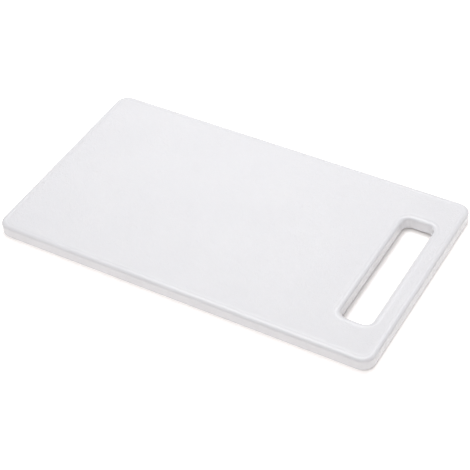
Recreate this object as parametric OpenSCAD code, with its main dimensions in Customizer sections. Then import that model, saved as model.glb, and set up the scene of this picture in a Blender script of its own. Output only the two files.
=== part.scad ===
// One-piece moulded plastic cutting board with a hand slot at one end.
// Both faces are flat cutting faces, so the board can be turned over.
// Origin: centre of the underside. +X points to the end with the slot, +Z is up.

/* [Board] */
// Length of the board along X
board_l = 300; // [240:5:450]
// Width of the board along Y
board_w = 171; // [150:1:300]
// Thickness of the board
board_t = 10.5; // [9:0.5:25]
// Radius of the four corners, seen from above
corner_r = 10; // [6:0.5:14]
// Radius of the rounding along every edge
edge_r = 2; // [0.5:0.1:3]

/* [Hand slot] */
// Length of the slot between its end walls, along Y
slot_l = 107; // [80:1:112]
// Width of the slot between its long walls, along X
slot_w = 23; // [20:1:32]
// Radius of the slot's four corners
slot_corner_r = 5.5; // [4:0.5:9]
// Width of the grip bar left between the slot and the end of the board
grip_w = 15.5; // [11:0.5:25]

/* [Hidden] */
$fn = 96;
// How far a cutter passes the face it cuts
cut_over = 1;
// How far a rounding cutter reaches back into the slot that is cut already
cut_back = 2;
slot_x = board_l / 2 - grip_w - slot_w / 2;

// Quarter of a disc in the first quadrant.
module quarter_disc(r) {
    intersection() {
        circle(r);
        square(r);
    }
}

// Section through the edge of a board, from depth 0 to the outer wall at depth.
module edge_section(depth) {
    square([depth - edge_r, board_t]);
    translate([depth - edge_r, edge_r]) square([edge_r, board_t - 2 * edge_r]);
    translate([depth - edge_r, board_t - edge_r]) quarter_disc(edge_r);
    translate([depth - edge_r, edge_r]) mirror([0, 1]) quarter_disc(edge_r);
}

// One straight edge strip of the given length, its wall facing +X.
module edge_strip(length) {
    rotate([90, 0, 0])
        linear_extrude(length, center = true) edge_section(corner_r);
}

// The board before the slot is cut: a core, four edge strips and four corners.
module blank() {
    core_l = board_l - 2 * corner_r;
    core_w = board_w - 2 * corner_r;
    translate([-core_l / 2, -core_w / 2, 0]) cube([core_l, core_w, board_t]);
    for (side = [0, 1]) {
        rotate(180 * side) translate([core_l / 2, 0, 0]) edge_strip(core_w);
        rotate(180 * side + 90) translate([core_w / 2, 0, 0]) edge_strip(core_l);
        for (flip = [0, 1])
            mirror([flip, 0, 0]) mirror([0, side, 0])
                translate([core_l / 2, core_w / 2, 0])
                    rotate_extrude(angle = 90) edge_section(corner_r);
    }
}

// Section of the cutter that rounds a slot edge; the slot wall is at x = 0.
module flare_section() {
    difference() {
        translate([-cut_back, 0]) square([cut_back + edge_r, edge_r + cut_over]);
        translate([edge_r, 0]) circle(edge_r);
    }
}

// Cutter that rounds the slot's whole rim on the upper face.
module slot_flare() {
    straight_l = slot_l - 2 * slot_corner_r;
    straight_w = slot_w - 2 * slot_corner_r;
    translate([0, 0, board_t - edge_r])
        for (side = [0, 1]) {
            rotate(180 * side) translate([slot_w / 2, 0, 0]) rotate([90, 0, 0])
                linear_extrude(straight_l, center = true) flare_section();
            rotate(180 * side + 90) translate([slot_l / 2, 0, 0]) rotate([90, 0, 0])
                linear_extrude(straight_w, center = true) flare_section();
            for (flip = [0, 1])
                mirror([flip, 0, 0]) mirror([0, side, 0])
                    translate([straight_w / 2, straight_l / 2, 0])
                        rotate_extrude(angle = 90)
                            translate([slot_corner_r, 0]) flare_section();
        }
}

// The slot's outline, seen from above.
module slot_outline() {
    straight_l = slot_l - 2 * slot_corner_r;
    straight_w = slot_w - 2 * slot_corner_r;
    square([slot_w, straight_l], center = true);
    square([straight_w, slot_l], center = true);
    for (sx = [-1, 1], sy = [-1, 1])
        translate([sx * straight_w / 2, sy * straight_l / 2]) circle(slot_corner_r);
}

// Everything that is cut out of the blank for the hand slot.
module hand_slot() {
    translate([0, 0, -cut_over]) linear_extrude(board_t + 2 * cut_over) slot_outline();
    slot_flare();
    translate([0, 0, board_t]) mirror([0, 0, 1]) slot_flare();
}

module board() {
    color("whitesmoke")
        difference() {
            blank();
            translate([slot_x, 0, 0]) hand_slot();
        }
}

board();
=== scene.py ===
"""A white polyethylene cutting board with a hand slot, lying on a white studio table.

The board is one moulding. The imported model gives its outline, its thickness and the place
and size of its slot; this script builds the same board again as a dense surface, with
softened edges, a smooth margin and a fine stipple on both cutting faces, and dresses it in
a satin, slightly translucent plastic. All lengths are in metres.
"""

import logging
import math
from dataclasses import dataclass
from enum import Enum
from typing import ClassVar

import bmesh
import bpy
from mathutils import Matrix, Vector, noise
from mathutils.geometry import delaunay_2d_cdt

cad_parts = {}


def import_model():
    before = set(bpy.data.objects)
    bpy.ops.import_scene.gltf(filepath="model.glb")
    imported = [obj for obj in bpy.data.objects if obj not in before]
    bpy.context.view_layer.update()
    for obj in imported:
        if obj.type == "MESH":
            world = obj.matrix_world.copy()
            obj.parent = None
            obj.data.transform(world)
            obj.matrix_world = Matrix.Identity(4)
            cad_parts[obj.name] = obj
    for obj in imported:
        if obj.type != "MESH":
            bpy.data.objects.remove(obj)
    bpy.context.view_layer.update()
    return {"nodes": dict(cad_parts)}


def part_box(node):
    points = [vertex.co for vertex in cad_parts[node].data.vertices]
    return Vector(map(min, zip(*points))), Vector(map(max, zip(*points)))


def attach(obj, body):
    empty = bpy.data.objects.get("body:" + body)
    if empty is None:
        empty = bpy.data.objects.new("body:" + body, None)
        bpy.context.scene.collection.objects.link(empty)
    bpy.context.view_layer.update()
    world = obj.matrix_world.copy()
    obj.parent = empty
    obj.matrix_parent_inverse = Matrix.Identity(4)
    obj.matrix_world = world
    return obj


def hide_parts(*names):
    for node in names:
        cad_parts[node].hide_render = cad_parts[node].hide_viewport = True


LOG = logging.getLogger("cutting_board")
MM = 0.001
GRAIN_LAYER = "grain"
SENSOR_WIDTH_MM = 36.0


def ease(share: float) -> float:
    """Turns a share from 0 to 1 into one that starts and ends gently."""
    share = min(max(share, 0.0), 1.0)
    return share * share * (3 - 2 * share)


@dataclass(frozen=True)
class NodeMaths:
    """Adds steps of arithmetic to a set of nodes.

    Args:
        tree: the nodes of a material or of the surroundings.
    """

    tree: bpy.types.NodeTree

    def number(
        self, operation: str, first: bpy.types.NodeSocket, second: bpy.types.NodeSocket | float
    ) -> bpy.types.NodeSocket:
        """Adds one step on plain numbers.

        Args:
            operation: what the step does.
            first: the first number.
            second: the second number.

        Returns:
            The socket with the result.
        """
        made = self.tree.nodes.new("ShaderNodeMath")
        made.operation = operation
        self.tree.links.new(first, made.inputs[0])
        if isinstance(second, float):
            made.inputs[1].default_value = second
        else:
            self.tree.links.new(second, made.inputs[1])
        return made.outputs["Value"]

    def vector(
        self, operation: str, first: bpy.types.NodeSocket, second: Vector | None = None
    ) -> bpy.types.Node:
        """Adds one step on vectors.

        Args:
            operation: what the step does.
            first: the first vector.
            second: the second vector, where the step takes one.

        Returns:
            The node.
        """
        made = self.tree.nodes.new("ShaderNodeVectorMath")
        made.operation = operation
        self.tree.links.new(first, made.inputs[0])
        if second is not None:
            made.inputs[1].default_value = second
        return made

    def ramp(
        self, source: bpy.types.NodeSocket, reach: tuple[float, float], levels: tuple[float, float]
    ) -> bpy.types.NodeSocket:
        """Adds a step that turns one range of values into another.

        Args:
            source: the value that comes in.
            reach: the range that it is read over.
            levels: what the ends of that range become.

        Returns:
            The socket with the new value.
        """
        made = self.tree.nodes.new("ShaderNodeMapRange")
        made.inputs["From Min"].default_value, made.inputs["From Max"].default_value = reach
        made.inputs["To Min"].default_value, made.inputs["To Max"].default_value = levels
        self.tree.links.new(source, made.inputs["Value"])
        return made.outputs["Result"]


class Side(Enum):
    """The two cutting faces; the value is the way each one looks along Z."""

    UPPER = 1
    LOWER = -1


class Bound(Enum):
    """The two closed walls of the board; the value is the way the outline grows into the plastic."""

    OUTER_WALL = -1
    SLOT_WALL = 1


@dataclass(frozen=True)
class RoundedOutline:
    """A rectangle with round corners, seen from above, that follows one wall of the board.

    Args:
        bound: whether the plastic lies inside or outside the outline.
        centre: the rectangle's centre.
        half_length: half its size along X.
        half_width: half its size along Y.
        corner: the radius of its corners.
    """

    bound: Bound
    centre: Vector
    half_length: float
    half_width: float
    corner: float

    def loop(self, inset: float, pitch: float, corner_steps: int) -> list[Vector]:
        """Points along the outline, counter-clockwise, moved into the plastic.

        Args:
            inset: how far to move, square to the wall.
            pitch: the longest step along the straight stretches.
            corner_steps: how many steps each corner takes.

        Returns:
            The points; every inset gives the same number of them, in the same order.
        """
        grow = inset * self.bound.value
        radius = self.corner + grow
        reach_x = self.half_length - self.corner
        reach_y = self.half_width - self.corner
        runs = (2 * reach_y, 2 * reach_x)
        hubs = ((reach_x, reach_y), (-reach_x, reach_y), (-reach_x, -reach_y), (reach_x, -reach_y))
        points: list[Vector] = []
        for quarter, (hub_x, hub_y) in enumerate(hubs):
            hub = self.centre + Vector((hub_x, hub_y))
            for step in range(corner_steps + 1):
                turn = math.radians(90 * (quarter + step / corner_steps))
                points.append(hub + radius * Vector((math.cos(turn), math.sin(turn))))
            next_x, next_y = hubs[(quarter + 1) % 4]
            turn = math.radians(90 * (quarter + 1))
            end = self.centre + Vector((next_x, next_y))
            end += radius * Vector((math.cos(turn), math.sin(turn)))
            start = points[-1].copy()
            steps = max(2, math.ceil(runs[(quarter + 1) % 2] / pitch))
            points.extend(start.lerp(end, step / steps) for step in range(1, steps))
        return points

    def depth(self, point: Vector) -> float:
        """Measures how far a point lies inside the plastic, square to this wall.

        Args:
            point: the point, seen from above.

        Returns:
            The depth; negative in the air.
        """
        x = abs(point.x - self.centre.x) - (self.half_length - self.corner)
        y = abs(point.y - self.centre.y) - (self.half_width - self.corner)
        outside = math.hypot(max(x, 0.0), max(y, 0.0)) + min(max(x, y), 0.0) - self.corner
        return outside * self.bound.value


@dataclass(frozen=True)
class BoardPlan:
    """The sizes of the board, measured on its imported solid.

    Args:
        thickness: from the underside to the upper face.
        outer: the outer wall's outline.
        slot: the slot wall's outline.
        wall_band: how far from mid-thickness a wall is measured, as a share of the thickness.
        same_line: how far apart two points of one straight wall may lie.
    """

    thickness: float
    outer: RoundedOutline
    slot: RoundedOutline
    wall_band: ClassVar[float] = 0.45
    same_line: ClassVar[float] = 0.01 * MM

    @classmethod
    def measured(cls, solid: bpy.types.Object) -> "BoardPlan":
        """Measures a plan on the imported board.

        Args:
            solid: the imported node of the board.

        Returns:
            The plan of that board.
        """
        low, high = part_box(solid.name)
        thickness = high.z - low.z
        middle = (low + high) / 2
        band = cls.wall_band * thickness
        wall = [v.co for v in solid.data.vertices if abs(v.co.z - middle.z) < band]
        outer = cls._outline(Bound.OUTER_WALL, wall)
        edge = outer.corner
        inner = [
            co for co in wall
            if abs(co.x - middle.x) < outer.half_length - edge
            and abs(co.y - middle.y) < outer.half_width - edge
        ]
        return cls(thickness, outer, cls._outline(Bound.SLOT_WALL, inner))

    @classmethod
    def _outline(cls, bound: Bound, wall: list[Vector]) -> RoundedOutline:
        """Fits a rounded rectangle to the extreme points of a wall.

        Args:
            bound: which wall it is.
            wall: points on the wall.

        Returns:
            The outline through them.
        """
        low_x, high_x = min(co.x for co in wall), max(co.x for co in wall)
        low_y, high_y = min(co.y for co in wall), max(co.y for co in wall)
        straight_end = max(co.y for co in wall if abs(co.x - high_x) < cls.same_line)
        return RoundedOutline(
            bound=bound,
            centre=Vector(((low_x + high_x) / 2, (low_y + high_y) / 2)),
            half_length=(high_x - low_x) / 2,
            half_width=(high_y - low_y) / 2,
            corner=high_y - straight_end,
        )


@dataclass(frozen=True)
class SoftEdge:
    """The rolled edge between a cutting face and a wall: a quarter of an ellipse.

    Args:
        width: how far it reaches in over the cutting face.
        drop: how far it reaches down the wall.
        steps: how many steps the quarter turn takes.
    """

    width: float = 3.0 * MM
    drop: float = 2.0 * MM
    steps: int = 12

    def rings(self) -> list[tuple[float, float]]:
        """Lists the roll's rings, from the wall to the face.

        Returns:
            Pairs of inset from the wall and depth below the face.
        """
        turns = [math.radians(90 * step / self.steps) for step in range(self.steps + 1)]
        return [
            (self.width * (1 - math.cos(turn)), self.drop * (1 - math.sin(turn)))
            for turn in turns
        ]


@dataclass(frozen=True)
class RaisedRim:
    """The smooth strip inside a rolled edge, which stands a little proud of the grain.

    Args:
        width: the width of its flat top.
        slope: the width of the slope down to the grain.
        height: how far it stands above the grain.
        rows: how many rows the slope takes.
    """

    width: float = 0.2 * MM
    slope: float = 1.2 * MM
    height: float = 0.13 * MM
    rows: int = 5

    def rings(self, start: float) -> list[tuple[float, float]]:
        """Pairs of inset from the wall and depth below the rim, from the edge to the grain.

        Args:
            start: the inset at which the rolled edge ends.

        Returns:
            The pairs.
        """
        made = [(start + self.width, 0.0)]
        for row in range(1, self.rows + 1):
            share = row / self.rows
            made.append((made[0][0] + share * self.slope, self.height * ease(share)))
        return made

    def reach(self) -> float:
        """The whole width of the strip."""
        return self.width + self.slope


@dataclass(frozen=True)
class Stipple:
    """The grain that the mould leaves on a cutting face.

    Args:
        grain: the size of the larger pebbles.
        fine_grain: the size of the smaller pebbles.
        height: how high the pebbles stand, from their mean.
        sway: how far a whole face departs from flat.
        fade: the width over which the grain dies out at the smooth strip.
        fine_share: how high the smaller pebbles stand next to the larger ones.
        sway_size: the size of the slow waves in a face.
        layer: how far apart the two faces read the same noise.
    """

    grain: float = 2.6 * MM
    fine_grain: float = 1.5 * MM
    height: float = 0.1 * MM
    sway: float = 0.05 * MM
    fade: float = 1.6 * MM
    fine_share: float = 0.8
    sway_size: float = 110 * MM
    layer: float = 7.3

    def lift(self, point: Vector, side: Side, depth: float) -> float:
        """Height of the grain at a point.

        Args:
            point: the place on the face.
            side: which face.
            depth: how far the point lies inside the smooth strip's inner edge.

        Returns:
            The height above the mean face.
        """
        layer = self.layer * side.value
        x, y = point.x, point.y
        coarse = noise.noise(Vector((x / self.grain, y / self.grain, layer)))
        fine = noise.noise(Vector((x / self.fine_grain, y / self.fine_grain, -layer)))
        slow = noise.noise(Vector((x / self.sway_size, y / self.sway_size, layer)))
        pebbles = self.height * (coarse + self.fine_share * fine)
        return self.share(depth) * (pebbles + self.sway * (slow - 0.5))

    def share(self, depth: float) -> float:
        """How much of the full grain there is at a given depth inside the smooth strip."""
        return ease(depth / self.fade)


@dataclass(frozen=True)
class BoardPlastic:
    """White polyethylene: satin where the mould is smooth, duller on the stippled faces.

    Args:
        name: the material's name.
        colour: the plastic's own colour, linear.
        shade: a darker copy of the plastic, for painted shade in the pebbles' hollows and for random
            patches of tone.
        smooth_roughness: roughness of the strips, the edges and the walls.
        grain_roughness: roughness of the stippled faces.
        glow: how much of the light travels through the plastic before it leaves.
        reach: how far that light travels.
        glow_tint: how far each colour of it travels next to the others.
        refraction: the plastic's index of refraction.
        pebble: the size of the finest pebbles, which the finish adds to the mesh.
        cloud: the size of the faint patches of tone.
        pebble_shade: how strongly the pebble noise darkens the pebbles' hollows, a painted shade,
            next to the patches of tone.
        relief: the height of the finest pebbles.
        relief_strength: how strongly that height shows.
    """

    name: str = "white_polyethylene"
    colour: tuple[float, float, float] = (0.80, 0.80, 0.815)
    shade: tuple[float, float, float] = (0.765, 0.765, 0.785)
    smooth_roughness: float = 0.24
    grain_roughness: float = 0.5
    glow: float = 0.15
    reach: float = 1.5 * MM
    glow_tint: tuple[float, float, float] = (1.0, 0.95, 0.9)
    refraction: float = 1.5
    pebble: float = 1.1 * MM
    cloud: float = 45 * MM
    pebble_shade: float = 0.5
    relief: float = 0.35 * MM
    relief_strength: float = 0.8

    def material(self) -> bpy.types.Material:
        """Builds the finish.

        Returns:
            The material, which reads the mesh's own grain layer.
        """
        made = bpy.data.materials.new(self.name)
        made.use_nodes = True
        tree = made.node_tree
        tree.nodes.clear()
        output = tree.nodes.new("ShaderNodeOutputMaterial")
        shader = tree.nodes.new("ShaderNodeBsdfPrincipled")
        tree.links.new(shader.outputs["BSDF"], output.inputs["Surface"])
        shader.inputs["IOR"].default_value = self.refraction
        shader.inputs["Subsurface Weight"].default_value = self.glow
        shader.inputs["Subsurface Radius"].default_value = self.glow_tint
        shader.inputs["Subsurface Scale"].default_value = self.reach

        maths = NodeMaths(tree)
        place = tree.nodes.new("ShaderNodeTexCoord")
        grain_layer = tree.nodes.new("ShaderNodeAttribute")
        grain_layer.attribute_name = GRAIN_LAYER
        grain = grain_layer.outputs["Fac"]
        pebbles = self._noise(tree, place, scale=1 / self.pebble, detail=2.0)
        clouds = self._noise(tree, place, scale=1 / self.cloud, detail=3.0)

        # Painted shade and random tone: the base colour moves towards the darker copy where the
        # pebble noise is low. That noise is also the bump's height, so the pebbles' hollows are
        # painted darker. The slow cloud noise adds random patches of tone.
        tint = tree.nodes.new("ShaderNodeMix")
        tint.data_type = "RGBA"
        tint_sockets = [socket for socket in tint.inputs if socket.enabled]
        tint_dark, tint_light = (socket for socket in tint_sockets if socket.name in "AB")
        tint_result = next(socket for socket in tint.outputs if socket.enabled)
        tint_dark.default_value = (*self.shade, 1.0)
        tint_light.default_value = (*self.colour, 1.0)
        tone = maths.number("MULTIPLY", pebbles, self.pebble_shade)
        tree.links.new(maths.number("ADD", tone, clouds), tint.inputs["Factor"])
        tree.links.new(tint_result, shader.inputs["Base Color"])

        roughness = maths.ramp(grain, (0.0, 1.0), (self.smooth_roughness, self.grain_roughness))
        tree.links.new(roughness, shader.inputs["Roughness"])

        bump = tree.nodes.new("ShaderNodeBump")
        bump.inputs["Strength"].default_value = self.relief_strength
        bump.inputs["Distance"].default_value = self.relief
        tree.links.new(maths.number("MULTIPLY", pebbles, grain), bump.inputs["Height"])
        tree.links.new(bump.outputs["Normal"], shader.inputs["Normal"])
        return made

    @staticmethod
    def _noise(
        tree: bpy.types.NodeTree, place: bpy.types.Node, scale: float, detail: float
    ) -> bpy.types.NodeSocket:
        """Adds a noise texture in the object's own space.

        Args:
            tree: the material's nodes.
            place: the texture coordinate node.
            scale: features per metre.
            detail: how many finer layers it adds.

        Returns:
            The socket with the noise.
        """
        made = tree.nodes.new("ShaderNodeTexNoise")
        made.inputs["Scale"].default_value = scale
        made.inputs["Detail"].default_value = detail
        tree.links.new(place.outputs["Object"], made.inputs["Vector"])
        return made.outputs["Fac"]


@dataclass
class Moulding:
    """The board's one piece of plastic.

    Args:
        plan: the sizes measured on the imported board.
        edge: the rolled edge along every rim.
        strip: the smooth strip between a rolled edge and the grain.
        stipple: the grain of the cutting faces.
        finish: the plastic.
        pitch: the distance between neighbouring points of the surface.
        corner_steps: how many steps a corner takes.
        wall_rows: how many rows of faces the walls have.
        guard: the height of the narrow row next to each rolled edge.
        weld: how close two points are when they become one.
        clearance: how far the field's points stay off the strip, in pitches.
        stagger: how far every other row of the field is shifted, in pitches.
        scatter: how far the field's points are pushed off their rows, in pitches.
        scatter_scale: how fast that push changes along a face, per metre.
        scatter_layer: how far apart the two faces read it.
    """

    plan: BoardPlan
    edge: SoftEdge = SoftEdge()
    strip: RaisedRim = RaisedRim()
    stipple: Stipple = Stipple()
    finish: BoardPlastic = BoardPlastic()
    pitch: float = 1.32 * MM
    corner_steps: int = 12
    wall_rows: int = 4
    guard: float = 0.25 * MM
    weld: float = 0.001 * MM
    clearance: float = 0.45
    stagger: float = 0.25
    scatter: float = 0.22
    scatter_scale: float = 900.0
    scatter_layer: float = 3.1

    def build(self) -> bpy.types.Object:
        """Builds and dresses the moulding.

        Returns:
            The finished piece.
        """
        shape = bmesh.new()
        grain = shape.verts.layers.float.new(GRAIN_LAYER)
        for side in Side:
            rims = {outline.bound: self._rim(shape, outline, side) for outline in self._outlines()}
            self._cutting_face(shape, grain, rims, side)
            for bound, rings in rims.items():
                self._band(shape, rings, (bound is Bound.OUTER_WALL) == (side is Side.UPPER))
        self._walls(shape)
        bmesh.ops.remove_doubles(shape, verts=shape.verts, dist=self.weld)
        bmesh.ops.recalc_face_normals(shape, faces=shape.faces)
        mesh = bpy.data.meshes.new("board_moulding")
        shape.to_mesh(mesh)
        shape.free()
        mesh.polygons.foreach_set("use_smooth", [True] * len(mesh.polygons))
        mesh.materials.append(self.finish.material())
        piece = bpy.data.objects.new("board_moulding", mesh)
        bpy.context.scene.collection.objects.link(piece)
        return piece

    def _outlines(self) -> tuple[RoundedOutline, RoundedOutline]:
        """The outlines of the two walls."""
        return self.plan.outer, self.plan.slot

    def _height(self, side: Side, below: float) -> float:
        """Height of a point that lies below a cutting face by a given depth."""
        return self.plan.thickness - below if side is Side.UPPER else below

    def _ring(
        self, shape: bmesh.types.BMesh, outline: RoundedOutline, inset: float, height: float
    ) -> list[bmesh.types.BMVert]:
        """Adds one closed ring of points along a wall.

        Args:
            shape: the surface being built.
            outline: the wall's outline.
            inset: how far the ring lies inside the plastic.
            height: its height.

        Returns:
            The ring's points.
        """
        points = outline.loop(inset, self.pitch, self.corner_steps)
        return [shape.verts.new((point.x, point.y, height)) for point in points]

    def _rim(
        self, shape: bmesh.types.BMesh, outline: RoundedOutline, side: Side
    ) -> list[list[bmesh.types.BMVert]]:
        """Adds the rolled edge and the smooth strip of one rim.

        Args:
            shape: the surface being built.
            outline: the wall's outline.
            side: which cutting face the rim belongs to.

        Returns:
            Its rings, from the wall to the grain.
        """
        steps = self.edge.rings() + self.strip.rings(self.edge.width)
        return [
            self._ring(shape, outline, inset, self._height(side, below)) for inset, below in steps
        ]

    @staticmethod
    def _band(
        shape: bmesh.types.BMesh, rings: list[list[bmesh.types.BMVert]], outward: bool
    ) -> None:
        """Joins neighbouring rings with rows of faces.

        Args:
            shape: the surface being built.
            rings: the rings, each with the same number of points.
            outward: whether the rows wind counter-clockwise.
        """
        for low, high in zip(rings, rings[1:]):
            for here in range(len(low)):
                there = (here + 1) % len(low)
                corners = [low[here], low[there], high[there], high[here]]
                shape.faces.new(corners if outward else corners[::-1])

    def _walls(self, shape: bmesh.types.BMesh) -> None:
        """Adds the outer wall and the slot wall, between their upper and lower rolled edges."""
        low, high = self.edge.drop, self.plan.thickness - self.edge.drop
        inner = [
            low + self.guard + (high - low - 2 * self.guard) * row / self.wall_rows
            for row in range(self.wall_rows + 1)
        ]
        for outline in self._outlines():
            rings = [self._ring(shape, outline, 0.0, z) for z in (low, *inner, high)]
            self._band(shape, rings, outline.bound is Bound.OUTER_WALL)

    def _cutting_face(
        self,
        shape: bmesh.types.BMesh,
        grain: bmesh.types.BMLayerItem,
        rims: dict[Bound, list[list[bmesh.types.BMVert]]],
        side: Side,
    ) -> None:
        """Fills the space between the two rims with the stippled face.

        Args:
            shape: the surface being built.
            grain: the layer that says how much grain a point carries.
            rims: the rings of both rims, from the wall to the grain.
            side: which cutting face it is.
        """
        outer, slot = rims[Bound.OUTER_WALL][-1], rims[Bound.SLOT_WALL][-1]
        corners = [*outer, *slot]
        links = [(i, (i + 1) % len(outer)) for i in range(len(outer))]
        start = len(outer)
        links += [(start + i, start + (i + 1) % len(slot)) for i in range(len(slot))]
        rim_points = [corner.co.xy for corner in corners]
        field = self._field_points(side)
        _, _, faces, origins, _, _ = delaunay_2d_cdt(rim_points + field, links, [], 0, 1e-9)
        made = [
            shape.verts.new((point.x, point.y, self._height(side, self.strip.height)))
            for point in field
        ]
        for vert in made:
            point = vert.co.xy
            depth = self._field_depth(point)
            vert.co.z += side.value * self.stipple.lift(point, side, depth)
            vert[grain] = self.stipple.share(depth)
        every = [*corners, *made]
        for face in faces:
            sources = [origins[index][0] for index in face]
            if all(start <= source < len(corners) for source in sources):
                continue
            shape.faces.new([every[source] for source in sources][:: side.value])

    def _field_depth(self, point: Vector) -> float:
        """How far a point lies inside the inner edge of the smooth strip."""
        reach = self.edge.width + self.strip.reach()
        return min(outline.depth(point) for outline in self._outlines()) - reach

    def _field_points(self, side: Side) -> list[Vector]:
        """Places the points of a stippled face in staggered rows.

        Args:
            side: which cutting face they are for.

        Returns:
            The points, clear of both smooth strips.
        """
        clear = self.clearance * self.pitch
        row_gap = self.pitch * math.sqrt(3) / 2
        outer = self.plan.outer
        rows = int(outer.half_width / row_gap)
        columns = int(outer.half_length / self.pitch)
        layer = side.value * self.scatter_layer
        points: list[Vector] = []
        for row in range(-rows, rows + 1):
            shift = self.stagger if row % 2 else -self.stagger
            for column in range(-columns, columns + 1):
                x = (column + shift) * self.pitch
                y = row * row_gap
                spot = Vector((x * self.scatter_scale, y * self.scatter_scale, layer))
                push = self.scatter * self.pitch * noise.noise_vector(spot).xy
                point = outer.centre + Vector((x, y)) + push
                if self._field_depth(point) > clear:
                    points.append(point)
        return points


@dataclass(frozen=True)
class Viewpoint:
    """Where the camera stands.

    Args:
        azimuth: degrees round from looking along +Y.
        elevation: degrees above the horizon.
        roll: degrees that the camera leans.
        distance: from the camera to the point that it aims at.
        aim: that point, on the table under the board.
        focal_mm: the focal length.
    """

    azimuth: float = 32.04
    elevation: float = 43.07
    roll: float = -3.667
    distance: float = 1.0568
    aim: tuple[float, float, float] = (0.00539, -0.00832, 0.0)
    focal_mm: float = 112.05

    def place(self) -> bpy.types.Object:
        """Makes the camera and gives it to the scene.

        Returns:
            The camera.
        """
        azimuth, elevation = math.radians(self.azimuth), math.radians(self.elevation)
        back = Vector((
            math.sin(azimuth) * math.cos(elevation),
            -math.cos(azimuth) * math.cos(elevation),
            math.sin(elevation),
        ))
        lens = bpy.data.cameras.new("studio_camera")
        lens.sensor_width = SENSOR_WIDTH_MM
        lens.lens = self.focal_mm
        lens.clip_start, lens.clip_end = 0.01, 100.0
        camera = bpy.data.objects.new("studio_camera", lens)
        turn = (-back).to_track_quat("-Z", "Y").to_matrix().to_4x4()
        lean = Matrix.Rotation(math.radians(self.roll), 4, "Z")
        spot = Vector(self.aim) + self.distance * back
        camera.matrix_world = Matrix.Translation(spot) @ turn @ lean
        bpy.context.scene.collection.objects.link(camera)
        bpy.context.scene.camera = camera
        return camera


@dataclass(frozen=True)
class Softbox:
    """A square soft light that looks at the board.

    Args:
        name: the light's name.
        place: where it hangs.
        size: the length of its sides.
        power: its strength in watts.
        colour: its colour, linear.
    """

    name: str
    place: tuple[float, float, float]
    size: float
    power: float
    colour: tuple[float, float, float] = (1.0, 1.0, 1.0)

    def hang(self) -> bpy.types.Object:
        """Makes the light.

        Returns:
            The light, turned to the board and hidden from the camera.
        """
        lamp = bpy.data.lights.new(self.name, "AREA")
        lamp.size = self.size
        lamp.energy = self.power
        lamp.color = self.colour
        made = bpy.data.objects.new(self.name, lamp)
        spot = Vector(self.place)
        made.location = spot
        made.rotation_euler = spot.to_track_quat("Z", "Y").to_euler()
        made.visible_camera = False
        bpy.context.scene.collection.objects.link(made)
        return made


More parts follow.
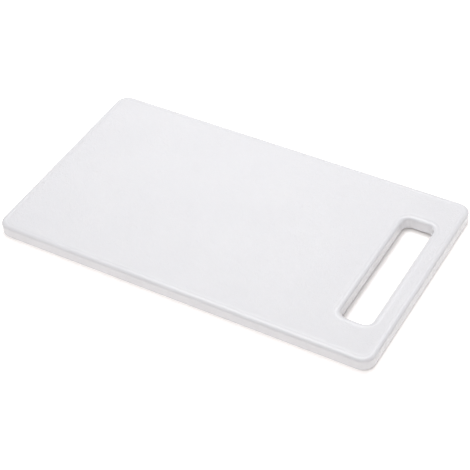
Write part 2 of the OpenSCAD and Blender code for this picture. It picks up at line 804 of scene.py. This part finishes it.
@dataclass(frozen=True)
class Studio:
    """The white table, the pale surroundings and the soft lights.

    Args:
        table_size: the length of the table's sides.
        table_colour: the table's own colour, linear.
        table_roughness: the table's roughness.
        table_gloss: how much the table reflects.
        table_gap: how far the table lies under the board, so that their faces stay apart.
        slot_glow: how brightly the table itself glows in the middle of the slot, a painted light;
            less of it towards the walls leaves the shadow there.
        slot_clear: how far inside the slot's walls that light starts.
        slot_ramp: the width over which it comes up.
        table_glow: how brightly the table itself glows all round the board, a painted light that
            clears the board's shadow off the table.
        glow_start: how far outside the board that light starts.
        glow_ramp: the width over which it comes up.
        shadow_strip: how much further off it starts at the slot's end.
        air_colour: the colour of the surroundings, linear.
        horizon: brightness of the surroundings level with the table.
        zenith: brightness of the surroundings overhead.
        zenith_from: how high the surroundings reach that brightness, from 0 level to 1 overhead.
        lights: the soft lights.
    """

    table_size: float = 12.0
    table_colour: tuple[float, float, float] = (0.96, 0.935, 0.915)
    table_roughness: float = 0.9
    table_gloss: float = 0.1
    table_gap: float = 0.05 * MM
    slot_glow: float = 0.75
    slot_clear: float = 1.5 * MM
    slot_ramp: float = 9.0 * MM
    table_glow: float = 0.42
    glow_start: float = -1.9 * MM
    glow_ramp: float = 1.0 * MM
    shadow_strip: float = 1.0 * MM
    air_colour: tuple[float, float, float] = (1.0, 0.985, 1.01)
    horizon: float = 0.18
    zenith: float = 0.5
    zenith_from: float = 0.8
    lights: tuple[Softbox, ...] = (
        Softbox("overhead_softbox", (-0.08, 0.2, 0.7), 0.6, 4.0),
        Softbox("front_softbox", (0.5, -1.15, 0.75), 1.0, 1.8),
    )

    def build(self, plan: BoardPlan) -> None:
        """Lays the table, sets the surroundings and hangs the lights.

        Args:
            plan: the board that lies in the studio.
        """
        bpy.context.scene.view_settings.view_transform = "Standard"
        self._table(plan)
        self._surroundings()
        for light in self.lights:
            light.hang()

    def _table(self, plan: BoardPlan) -> None:
        """Lays the table just under the board; the table itself glows round the board and in its
        slot, as painted light.

        Args:
            plan: the board that lies on it.
        """
        shape = bmesh.new()
        bmesh.ops.create_grid(shape, x_segments=1, y_segments=1, size=self.table_size / 2)
        mesh = bpy.data.meshes.new("table")
        shape.to_mesh(mesh)
        shape.free()
        table = bpy.data.objects.new("table", mesh)
        table.location.z = -self.table_gap
        bpy.context.scene.collection.objects.link(table)
        paper = bpy.data.materials.new("table_white")
        paper.use_nodes = True
        shader = paper.node_tree.nodes["Principled BSDF"]
        shader.inputs["Base Color"].default_value = (*self.table_colour, 1.0)
        shader.inputs["Roughness"].default_value = self.table_roughness
        shader.inputs["Specular IOR Level"].default_value = self.table_gloss
        # Painted light: the table itself glows in its own colour. The glow is laid round the board
        # from just outside its outline and in the slot's middle, clearing the board's shadow off the
        # table. Next to the walls it is left out, so the shadow there stays.
        shader.inputs["Emission Color"].default_value = (*self.table_colour, 1.0)
        maths = NodeMaths(paper.node_tree)
        around = self._outside(maths, plan.outer, self.shadow_strip)
        in_slot = self._outside(maths, plan.slot, 0.0)
        start = (self.glow_start, self.glow_start + self.glow_ramp)
        inside = (-self.slot_clear, -self.slot_clear - self.slot_ramp)
        total = maths.number(
            "ADD",
            maths.ramp(around, start, (0.0, self.table_glow)),
            maths.ramp(in_slot, inside, (0.0, self.slot_glow)),
        )
        paper.node_tree.links.new(total, shader.inputs["Emission Strength"])
        mesh.materials.append(paper)

    @staticmethod
    def _outside(
        maths: NodeMaths, outline: RoundedOutline, longer: float
    ) -> bpy.types.NodeSocket:
        """Adds nodes that measure how far a point of the table lies outside an outline.

        Args:
            maths: the table's nodes.
            outline: the outline, with its round corners.
            longer: how much is added to it at its end along +X.

        Returns:
            The socket with the distance; negative inside.
        """
        place = maths.tree.nodes.new("ShaderNodeTexCoord")
        split = maths.tree.nodes.new("ShaderNodeSeparateXYZ")
        centre = Vector((outline.centre.x + longer / 2, outline.centre.y, 0.0))
        hub = Vector((
            outline.half_length + longer / 2 - outline.corner,
            outline.half_width - outline.corner,
            0.0,
        ))
        moved = maths.vector("SUBTRACT", place.outputs["Object"], centre)
        size = maths.vector("ABSOLUTE", moved.outputs["Vector"])
        past = maths.vector("SUBTRACT", size.outputs["Vector"], hub)
        beyond = maths.vector("MAXIMUM", past.outputs["Vector"], Vector((0.0, 0.0, 0.0)))
        round_part = maths.vector("LENGTH", beyond.outputs["Vector"]).outputs["Value"]
        maths.tree.links.new(past.outputs["Vector"], split.inputs["Vector"])
        flat_part = maths.number("MAXIMUM", split.outputs["X"], split.outputs["Y"])
        both = maths.number("ADD", round_part, maths.number("MINIMUM", flat_part, 0.0))
        return maths.number("SUBTRACT", both, outline.corner)

    def _surroundings(self) -> None:
        """Sets a pale sky that grows brighter from the horizon to overhead."""
        world = bpy.data.worlds.new("studio_air")
        bpy.context.scene.world = world
        world.use_nodes = True
        tree = world.node_tree
        place = tree.nodes.new("ShaderNodeTexCoord")
        split = tree.nodes.new("ShaderNodeSeparateXYZ")
        background = tree.nodes["Background"]
        tree.links.new(place.outputs["Generated"], split.inputs["Vector"])
        heights, levels = (0.0, self.zenith_from), (self.horizon, self.zenith)
        level = NodeMaths(tree).ramp(split.outputs["Z"], heights, levels)
        tree.links.new(level, background.inputs["Strength"])
        background.inputs["Color"].default_value = (*self.air_colour, 1.0)


def main() -> None:
    """Builds the board, the studio and the camera, in that order."""
    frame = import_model()

    plan = BoardPlan.measured(frame["nodes"]["board"])
    board = Moulding(plan).build()
    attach(board, "root")
    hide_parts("board")
    LOG.info("%s: %d faces", board.name, len(board.data.polygons))

    Studio().build(plan)
    Viewpoint().place()
    LOG.info("studio and camera are in place")


if __name__ == "__main__":
    logging.basicConfig(level=logging.INFO, format="%(name)s: %(message)s")
    main()
